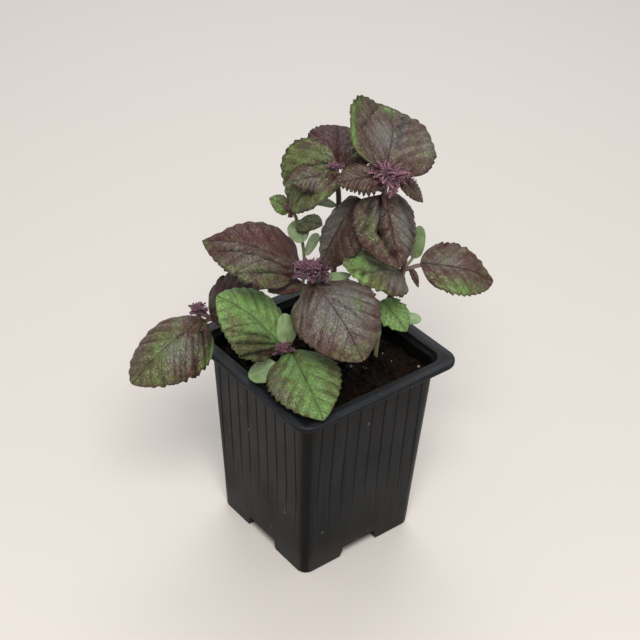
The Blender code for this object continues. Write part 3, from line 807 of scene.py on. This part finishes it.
def build_tall_stem():
    lower = (12, 35, 134)
    upper = (5.5, 27.5, 171)
    tip = (5.5, 27, 181)
    trunk = stem("tall", rise((2.5, 23.5), (7, 29.5, 113), lower, (10, 34, 152), upper, tip), 1.5, 1.2)
    parts = leaf(
        "top", tip, (5, 26.5, 184), (-26, 56, 192.5), 45, 48, 24, -8, green=0.15, shade=0.95,
        curls=((32, 0.62, 0.8), (-60, 0.75, 1.0)), ruffle=0.3, quilt=0.25, outline=(0.42, 0.9, 0.68),
        sides=(1.12, 1.0), cut=0.04, creases=((0.05, 0.4, 0.35, 0.68, 0.9, 0.8),
        (0.35, 0.68, 0.85, 0.7, 0.9, 0.8), (0.3, -0.1, 0.8, -0.35, 0.5, 1.6)),
        spots=((0.35, 0.95, 0.4, 0.2, 1.0), (0.88, 0.2, 0.16, 0.5, 0.75), (0.45, -0.6, 0.3, 0.3, 0.2)),
        mist=((0.35, 0.1, 0.3, 0.5, 0.7), (0.45, -0.75, 0.25, 0.2, 0.5), (0.75, -0.1, 0.1, 0.6, -0.7)),
        shadows=((0.9, 0.95, 0.3, 0.2, -0.35), (0.75, -0.3, 0.2, 0.4, -0.25)))
    parts += leaf(
        "top_small", (6, 28, 178), (10, 32, 181), (19, 37, 172), 12, 20, 0, 15, 0.8, shade=0.8)
    parts += leaf(
        "top_left", tip, (5, 25, 182.5), (-0.5, 4, 183), 21, 10, -9, 18, 0.9, ruffle=1.8, cut=0.14,
        quilt=0.5, teeth=12, veins=7, mist=((0.5, 0, 0.5, 1, 0.3),), shade=0.85)
    parts += leaf(
        "front", upper, (6.5, 26, 174), (26, 20, 148.5), 36, 3, -11, 46, green=0.1, fold=10, swell=1.2,
        outline=(0.25, 0.85, 0.75), creases=((0.02, -0.1, 0.5, -0.32, 2.6, 1.9),
        (0.5, -0.32, 0.8, -0.1, 2.0, 1.7), (0.1, -0.5, 0.45, -0.75, 1.0, 1.6),
        (0.15, 0.5, 0.6, 0.75, 0.5, 1.6)), spots=((0.5, -0.5, 0.25, 0.18, 0.5),
        (0.3, -0.7, 0.3, 0.2, 0.25)), mist=((0.5, 0.4, 0.35, 0.3, 1.1), (0.25, -0.3, 0.2, 0.3, 0.6)),
        shade=0.85)
    parts += leaf(
        "dark", upper, (-2.5, 20, 169), (-5, 1.5, 137), 32, 46, -2, 50, green=0.15, shade=0.65, quilt=0.2,
        outline=(0.28, 0.85, 0.85), mist=((0.5, -0.3, 0.5, 0.4, 0.8),))
    parts += leaf(
        "low_left", lower, (12, 34, 134), (12.5, 2, 147), 34, 40, -17, 30, green=0.85,
        outline=(0.42, 0.5, 0.5), swell=1.5, spots=((0.3, 0.6, 0.35, 0.6, -0.75),
        (0.8, -0.2, 0.2, 0.4, 0.3)), mist=((0.3, 0.6, 0.3, 0.4, 0.7),),
        creases=((0.2, 0.1, 0.85, 0.5, 0.8, 1.5),))
    parts += leaf(
        "low_right", lower, (16, 41.5, 137.5), (32.5, 72, 125.5), 29, 44, 27, 19, quilt=0.25,
        sides=(0.98, 0.98), outline=(0.62, 0.75, 0.62), cut=0.08, shade=0.95,
        spots=((0.5, -0.85, 0.3, 0.3, 0.85), (0.8, 0, 0.1, 0.5, 0.2)), mist=((0.4, 0.1, 0.35, 0.4, 0.7),
        (0.75, 0.3, 0.25, 0.6, -0.6)))
    parts += leaf(
        "low_small", (12.5, 35.8, 135), (14, 37.5, 135), (18.5, 39, 127), 4.6, 20, 0, 0, 0.6, teeth=5)
    parts += round_leaf("low_round", (12, 36, 135), (12, 40, 139), (11, 45, 153), 12, -20, 15, 0.7)
    parts += crown("tall_crown", (7.5, 25, 180.5), 12.5, 14, 72, shade=1.05)
    set_in(join("tall_shoot", [trunk, *parts]), "tall_stem")


def build_back_stem():
    tip = (-16.5, 17, 178)
    trunk = stem("back", rise((-16.5, 17.5), (-17, 19, 130), (-17, 20, 160), tip), 1.4, 1.1)
    parts = leaf(
        "left", (-16.5, 17, 177), (-16, 17.5, 179.5), (-31, 3, 159), 38, 105, -32, -12, green=0.65,
        spots=((0.1, 0.3, 0.25, 0.5, -0.4), (0.5, -0.1, 0.2, 0.3, 0.3)), quilt=0.6, ruffle=0.3, cut=0.035,
        creases=((0.1, -0.2, 0.75, -0.55, 1.2, 0.9), (0.1, 0.3, 0.7, 0.6, 1.0, 0.9)),
        mist=((0.3, 0.5, 0.3, 0.3, 0.6), (0.05, 0.0, 0.25, 0.9, -0.5)), shade=0.85)
    parts += leaf(
        "rear", tip, (-17, 18.5, 178), (-43, 38, 182), 35, 56, 8, 9, green=-0.1, shade=0.6,
        sides=(0.82, 1.0), spots=((0.25, -0.4, 0.25, 0.4, 0.5),), mist=((0.5, 0.3, 1, 1, -0.6),))
    parts += leaf(
        "fore", tip, (-17, 15.5, 176), (-20.5, -5.5, 177.5), 22, 12, -13, 35, green=0.3, teeth=12,
        ruffle=1.6, cut=0.12, quilt=0.5, veins=7, mist=((0.5, 0.3, 0.5, 1, 0.5),), shade=0.85)
    parts += round_leaf("oval", (-17, 20, 157), (-17.5, 18.5, 159.5), (-23, 6.5, 163.5), 9, 0, 10, 0.7)
    parts += crown("back_crown", (-15.5, 15.5, 178.5), 5.0, 6, 50, shade=0.85)
    set_in(join("back_shoot", [trunk, *parts]), "back_stem")


def build_centre_stem():
    tip = (2.5, -10.5, 143)
    trunk = stem("centre", rise((5.0, -6.5), (4.5, -8, 115), (2.5, -10, 135), tip), 1.4, 1.2)
    parts = leaf(
        "left", tip, (-2, -13.5, 145.5), (-33.5, -42, 154), 41.5, 61, -13, 23, green=0.08, quilt=0.35,
        fold=12, cut=0.07, outline=(0.42, 0.85, 1.15), shade=0.8, curls=((0, 0.6, 1), (-55, 0.72, 1.0)),
        creases=((0.08, 0.25, 0.8, 0.55, 1.1, 0.8), (0.05, 0.5, 0.55, 0.85, 1.1, 0.8)),
        spots=((0.4, 0.85, 0.4, 0.35, 0.45), (0.35, 0.3, 0.3, 0.3, 0.12), (0.97, 0.0, 0.08, 1.0, 0.4)),
        mist=((0.45, 0.4, 0.35, 0.4, 0.5), (0.6, -0.4, 0.5, 0.5, -0.6)),
        shadows=((0.35, -0.7, 0.5, 0.3, -0.15),))
    parts += leaf(
        "fore", (2.5, -10, 138), (4, -10, 139.5), (45, -14.5, 125), 46, 80, 17, 37, green=0.05,
        sides=(0.98, 0.93), outline=(0.42, 0.62, 0.62), quilt=0.22, swell=1.1, shade=0.9,
        curls=((-25, 0.78, 1.0), (-50, 0.75, 1.0)), creases=((0.08, -0.3, 0.5, -0.85, 0.8, 0.7),
        (0.12, -0.15, 0.45, -0.6, 0.6, 0.7), (0.35, 0.1, 0.7, 0.45, 0.4, 0.7)),
        spots=((0.92, -0.1, 0.12, 0.8, 0.6), (0.6, -0.28, 0.1, 0.14, 0.5), (0.5, 0.45, 0.1, 0.15, 0.45),
        (0.2, -0.8, 0.2, 0.3, 0.3)), mist=((0.5, 0.1, 0.4, 0.8, 0.9),),
        shadows=((0.15, 0.6, 0.25, 0.4, -0.2),))
    parts += leaf(
        "small_left", (2.5, -10, 137), (0.5, -13.5, 140), (-4.5, -28, 138), 13, 20, 0, 15, 0.8, shade=0.8)
    parts += round_leaf("small_right", (2.5, -10, 136), (2, -3, 138), (7, 8.5, 139), 7, 0, 10, 0.7)
    parts += crown("centre_crown", (3.2, -11.2, 143.4), 10.8, 16, 62, shade=0.72)
    set_in(join("centre_shoot", [trunk, *parts]), "centre_stem")


def build_left_stem():
    tip = (-33, -43, 117.5)
    trunk = stem("left_trunk", rise((-30.0, -18.0), (-30.5, -26, 103.5), (-32, -38.5, 112), tip), 1.3, 1.0)
    parts = leaf(
        "outer", (-32, -39, 112.5), (-32, -42.5, 113.5), (-31, -82, 95.5), 42, 46, -14, 54, green=0.25,
        outline=(0.42, 0.7, 0.5), quilt=0.5, ruffle=0.6, sides=(0.95, 0.93), cut=0.07,
        curls=((0, 0.6, 1), (-50, 0.75, 1.0)), creases=((0.1, 0.25, 0.35, 1.0, 1.3, 0.8),
        (0.25, 0.25, 0.5, 1.0, 1.2, 0.8), (0.42, 0.3, 0.66, 1.0, 0.9, 0.7)),
        spots=((0.2, 0.95, 0.2, 0.22, 0.9), (0.5, -0.1, 0.2, 0.3, 0.5), (0.75, 0.35, 0.15, 0.4, 0.5)),
        mist=((0.45, 0.2, 0.25, 0.4, 0.8), (0.7, -0.5, 0.2, 0.3, 0.4)),
        shadows=((0.1, 0.6, 0.2, 0.5, -0.25),), shade=0.9)
    parts += leaf(
        "inner", (-32.3, -39, 113), (-33, -39, 115), (-19, -19.5, 131.5), 26, 50, 20, 7, green=0.05,
        teeth=11, shade=0.6)
    parts += crown("left_crown", (-33.5, -44.5, 117.2), 5.4, 11, 58, shade=0.65)
    set_in(join("left_shoot", [trunk, *parts]), "left_stem")


def build_front_stem():
    tip = (7.5, -26.5, 112)
    trunk = stem("front_trunk", rise((9.0, -21.0), (8.5, -24, 103), tip), 1.2, 1.1)
    parts = leaf(
        "left", tip, (5, -27.5, 114), (-17.5, -45.5, 135.5), 38, 55, -16, 27, green=1.15,
        outline=(0.42, 0.7, 0.6), spots=((0.15, 0.7, 0.35, 0.5, -0.75), (0.65, 0.7, 0.2, 0.3, -0.35)),
        creases=((0.05, 0.3, 0.35, 0.95, 1.4, 0.8), (0.08, 0.12, 0.5, 0.8, 1.3, 0.8),
        (0.2, 0.12, 0.62, 0.7, 1.0, 0.7)), curls=((0, 0.6, 1), (-35, 0.8, 1.0)),
        shadows=((0.2, 0.75, 0.35, 0.5, -0.45),), mist=((0.45, 0.1, 0.2, 0.3, 0.7),))
    parts += leaf(
        "fore", tip, (9.5, -25.5, 113.5), (46, -35.5, 103.5), 34.5, 38, 10, 30, green=1.0, cut=0.065,
        mist=((0.45, -0.7, 0.4, 0.3, 0.7), (0.3, -0.15, 0.3, 0.15, 0.8)), shade=0.8,
        spots=((0.4, -0.85, 0.45, 0.4, -0.5), (0.35, -0.15, 0.25, 0.15, 0.35), (0.85, 0, 0.15, 0.6, 0.3),
        (0.6, 0.9, 0.4, 0.25, -0.3)))
    parts += round_leaf("seed_back", (7.5, -26, 110), (6, -24.5, 114.5), (1.5, -23.5, 128), 9.5, 0, 10, 0.7)
    parts += round_leaf("seed_left", (8.4, -24, 103), (8.0, -31.5, 107), (2.5, -43, 103), 16.5, 0, 10, 0.7)
    parts += crown("front_crown", (8.0, -28.5, 112.3), 7.0, 9, 52, shade=0.75)
    set_in(join("front_shoot", [trunk, *parts]), "front_stem")


def build_right_stem():
    tip = (10, 25, 119)
    trunk = stem("right_trunk", rise((12.0, 22.0), (11, 24, 106), tip), 0.9, 0.8, 0.8)
    parts = leaf(
        "lead", tip, (10, 25, 120.5), (26, 27, 112), 16, 39, 20, 20, 0.7, green=1.5, teeth=6, cut=0.2)
    parts += round_leaf("seed_right", (10.5, 24.5, 111), (17.5, 31, 113), (24.8, 36.5, 113.5), 9, 0, 10, 0.6)
    parts += round_leaf(
        "seed_left", (11.1, 24.2, 103.7), (10.5, 24.5, 105.5), (11.5, 18.5, 99.5), 8, 30, 10, 0.6)
    set_in(join("right_shoot", [trunk, *parts]), "right_stem")


def build_sprig():
    tip = (-34.5, 7, 152)
    trunk = stem("sprig_trunk", rise((-31.0, 11.0), (-30.5, 12, 127), (-33, 9, 147), tip), 0.8, 0.7, 0.8)
    parts = leaf("far", tip, (-35, 6.5, 152.5), (-40.5, -1, 158), 11, 20, -25, 15, 0.6, green=0.8)
    parts += leaf("near", (-33, 9, 147), (-32.5, 9.5, 146), (-20, 13.5, 149), 13, 20, 15, 15, 0.6, green=0.6)
    parts += round_leaf("seed_a", (-30.6, 12, 128), (-30, 12, 131), (-22.5, 14, 141.5), 10, 40, 10, 0.6)
    parts += round_leaf("seed_b", (-33, 9, 146.5), (-33, 8.5, 147), (-25, 6, 140), 10, 20, 10, 0.6)
    parts += crown("sprig_crown", (-34.5, 6.5, 152), 5.0, 6, 50, 0.3)
    set_in(join("sprig", [trunk, *parts]), "sprig_stem")


# Pot

FLUTES = 9
FLUTE_PITCH = 7.1
FLUTE_DEPTH = 0.42
FLUTE_HALF = 0.55
CORNER_STEPS = 8


def wall(z):
    """Half the pot's outer width at this height, below the rim."""
    return WALL_FOOT + WALL_LEAN * z


def square_ring(half, radius, z, flute=0.0):
    """A square with round corners, and with grooves of this depth down each side."""
    points = []
    squeeze = min(1.0, (half - radius - 0.2) / ((FLUTES - 1) / 2 * FLUTE_PITCH + 1.4 * FLUTE_HALF))
    for corner in range(4):
        turn = np.array(Matrix.Rotation(corner * pi / 2, 2))
        run = []
        for i in range(FLUTES):
            middle = (i - (FLUTES - 1) / 2) * FLUTE_PITCH * squeeze
            for offset, depth in ((-1.4, 0), (-1, 0), (-0.55, 0.6), (0, 1), (0.55, 0.6), (1, 0), (1.4, 0)):
                run.append((half - depth * flute, middle + offset * FLUTE_HALF))
        for i in range(CORNER_STEPS + 1):
            a = pi / 2 * i / CORNER_STEPS
            run.append((half - radius + radius * cos(a), half - radius + radius * sin(a)))
        points += [(*(turn @ np.array(p)), z) for p in run]
    return points


def channel(side):
    """The block that cuts the channel between two feet."""
    turn = np.array(Matrix.Rotation(side * pi / 2, 3, "Z"))
    roof = FLOOR_TOP + 0.4
    outline = ((45, -1), (13, -1), (13, 3), (wall(0) - 2.2, 3), (wall(0) + 0.3, roof), (45, roof))
    rings = []
    for y in (-10, 10):
        rings.append([turn @ np.array((x, y * (1.14 if z < 0 else 1), z)) for x, z in outline])
    return loft(f"channel_{side}", rings)


def drain(x, y):
    """The plug that cuts a drainage hole."""
    deselect()
    middle = Vector((x, y, 3)) * MM
    bpy.ops.mesh.primitive_cylinder_add(vertices=32, radius=4 * MM, depth=8 * MM, location=middle)
    return bpy.context.object


def build_pot():
    """One moulding through its profile: half width, corner radius, height and depth of the flutes."""
    profile = [(31.6, 4.4, 0), (32.1, 4.8, 0.15), (32.5, 5.1, 0.5), (wall(1.2), 5.2, 1.2),
               (wall(14), 5.3, 14)]
    for z, deep in ((17, 0), (23, 0.06), (30, 0.2), (37, 0.42), (44, 0.68), (51, 0.9), (58, 1), (77, 1),
                    (95.6, 1), (96.1, 0.4), (96.4, 0)):
        profile.append((wall(z), 5.4 + 0.6 * z / 96, z, deep * FLUTE_DEPTH))
    profile += [(37.7, 6, 97.6), (37.9, 6.1, 98.2), (38.4, 6.3, 98.6), (39.2, 6.6, 98.7), (43.4, 7.5, 98.7),
                (43.8, 7.6, 98.5), (43.9, 7.7, 97.9), (44, 7.75, 97.55), (44.3, 7.9, 97.4),
                (44.7, 8.1, 97.45), (44.95, 8.25, 97.8), (45, 8.3, 98.4), (44.97, 8.3, 99.1),
                (44.8, 8.2, 99.6), (44.4, 8, 99.93), (43.8, 7.8, 100), (42, 7.3, 99.85),
                (40.2, 6.9, 99.9), (39.5, 6.7, 99.95), (38.9, 6.4, 99.85), (38.5, 6.2, 99.5),
                (38.3, 6, 98.9), (36.8, 5.4, 97), (wall(92) - 1, 5.1, 92), (wall(50) - 1, 4.7, 50),
                (wall(7) - 1, 4.3, 7), (wall(6) - 1.6, 4, FLOOR_TOP)]
    pot = loft("nursery_pot", [square_ring(*ring) for ring in profile], pot_plastic())

    channels = join("channels", [channel(side) for side in range(4)])
    drains = join("drains", [drain(x, y) for x, y in ((22.5, 0), (0, 22.5), (-22.5, 0), (0, -22.5))])
    for cutter in (channels, drains):
        use(pot, "BOOLEAN", operation="DIFFERENCE", solver="EXACT", object=cutter)
        bpy.data.objects.remove(cutter)
    smooth(pot, 28)
    set_in(pot, "pot")


# Compost

STREWN = 35.0
SOIL_STEPS = 170


def round_corners(x, y, half, corner):
    """Draws points of a square in, along lines from its middle, so that its corners turn round."""
    far = np.maximum(np.abs(x), np.abs(y))
    near = np.minimum(np.abs(x), np.abs(y))
    inset = half - corner
    lean = near / np.maximum(far, 1e-9)
    reach = 1.0 + lean ** 2
    centre = inset * (1 + lean)
    root = np.sqrt(np.maximum(centre ** 2 - reach * (2 * inset ** 2 - corner ** 2), 0))
    shrink = np.where(lean * half > inset, (centre + root) / reach / half, 1.0)
    return x * shrink, y * shrink


def lump(x, y):
    """The compost's height over its mean level at each point, with clods and crumbs."""
    height = []
    for a, b in zip(x, y):
        p = Vector((a, b, 0.0))
        clod = noise.fractal(p * 0.09, 1.0, 2.0, 2)
        crumb = 1.0 - abs(noise.noise(p * 0.33 + Vector((7, 3, 0)))) * 2.4
        fine = noise.fractal(p * 1.1, 0.7, 2.0, 3)
        height.append(1.1 * clod + 0.8 * crumb + 0.4 * fine - 0.4)
    return np.array(height)


def scatter(name, shape, count, rng, low, high, material, form=(1.0, 1.0, 0.75)):
    """Copies of a small lump strewn over the compost."""
    turns = []
    for _ in range(count):
        x, y = rng.uniform(-STREWN, STREWN, 2)
        size = low + (high - low) * rng.random() ** 2.2
        level = SOIL_TOP + lump([x], [y])[0] + size * form[2] * 0.2
        turn = Matrix.Rotation(rng.uniform(0, tau), 4, "Z") @ Matrix.Rotation(rng.uniform(-0.6, 0.6), 4, "X")
        stretch = Matrix.Diagonal((*(rng.uniform(0.65, 1.3, 3) * form * size), 1))
        turns.append(Matrix.Translation(Vector((x, y, level)) * MM) @ turn @ stretch)
    piece = strew(name, shape, turns, material)
    smooth(piece, 40)
    return piece


def pebble(name, detail, rng, rough):
    """A rough lump a millimetre across."""
    deselect()
    bpy.ops.mesh.primitive_ico_sphere_add(subdivisions=detail, radius=0.5 * MM, location=(0, 0, 0))
    obj = bpy.context.object
    obj.name = name
    co = places(obj)
    co *= 1 + rng.uniform(-rough, rough, (len(co), 1))
    obj.data.vertices.foreach_set("co", co.ravel())
    return obj


def build_soil():
    """A block of compost with a crumbly top, with loose crumbs, splinters and perlite on it."""
    material = damp_compost()
    deselect()
    bpy.ops.mesh.primitive_grid_add(x_subdivisions=SOIL_STEPS, y_subdivisions=SOIL_STEPS, size=2.0,
                                    location=(0, 0, 0))
    soil = bpy.context.object
    edit_edges(soil, lambda edge: edge.is_boundary)
    bpy.ops.mesh.extrude_edges_indiv()
    bpy.ops.transform.translate(value=(0, 0, -1))
    bpy.ops.mesh.edge_face_add()
    bpy.ops.object.mode_set(mode="OBJECT")
    co = places(soil)
    low = co[:, 2] < -0.5
    half = np.where(low, wall(FLOOR_TOP) - 1.35, wall(SOIL_TOP) - 1.1)
    x, y = round_corners(co[:, 0] * half, co[:, 1] * half, half, np.where(low, 4.0, 5.0))
    z = np.where(low, FLOOR_TOP + 0.3, SOIL_TOP)
    z[~low] += lump(x[~low], y[~low])
    rim = np.maximum(np.abs(co[:, 0]), np.abs(co[:, 1])) > 0.97
    z[~low & rim] -= 0.5
    move_to(soil, np.column_stack([x, y, z]), "potting_mix", material)
    face_out(soil)
    smooth(soil, 60)

    rng = np.random.default_rng(5)
    small, large = pebble("small_lump", 1, rng, 0.25), pebble("large_lump", 2, rng, 0.2)
    parts = [soil,
             scatter("crumbs", small, 560, rng, 0.6, 2.4, material),
             scatter("clods", large, 130, rng, 1.8, 5.0, material),
             scatter("splinters", small, 90, rng, 1.0, 3.0, material, (2.2, 0.5, 0.4)),
             scatter("perlite", large, 34, rng, 0.5, 1.5, grit())]
    bpy.data.objects.remove(small)
    bpy.data.objects.remove(large)
    set_in(join("potting_mix", parts), "soil")


set_camera()
build_studio()
LEAF_UPPER = leaf_upper()
LEAF_UNDER = leaf_under()
YOUNG_LEAF = young_leaf()
SEED_LEAF = seed_leaf()
STALK_SKIN = stalk_skin()
build_pot()
build_soil()
build_tall_stem()
build_back_stem()
build_centre_stem()
build_left_stem()
build_front_stem()
build_right_stem()
build_sprig()
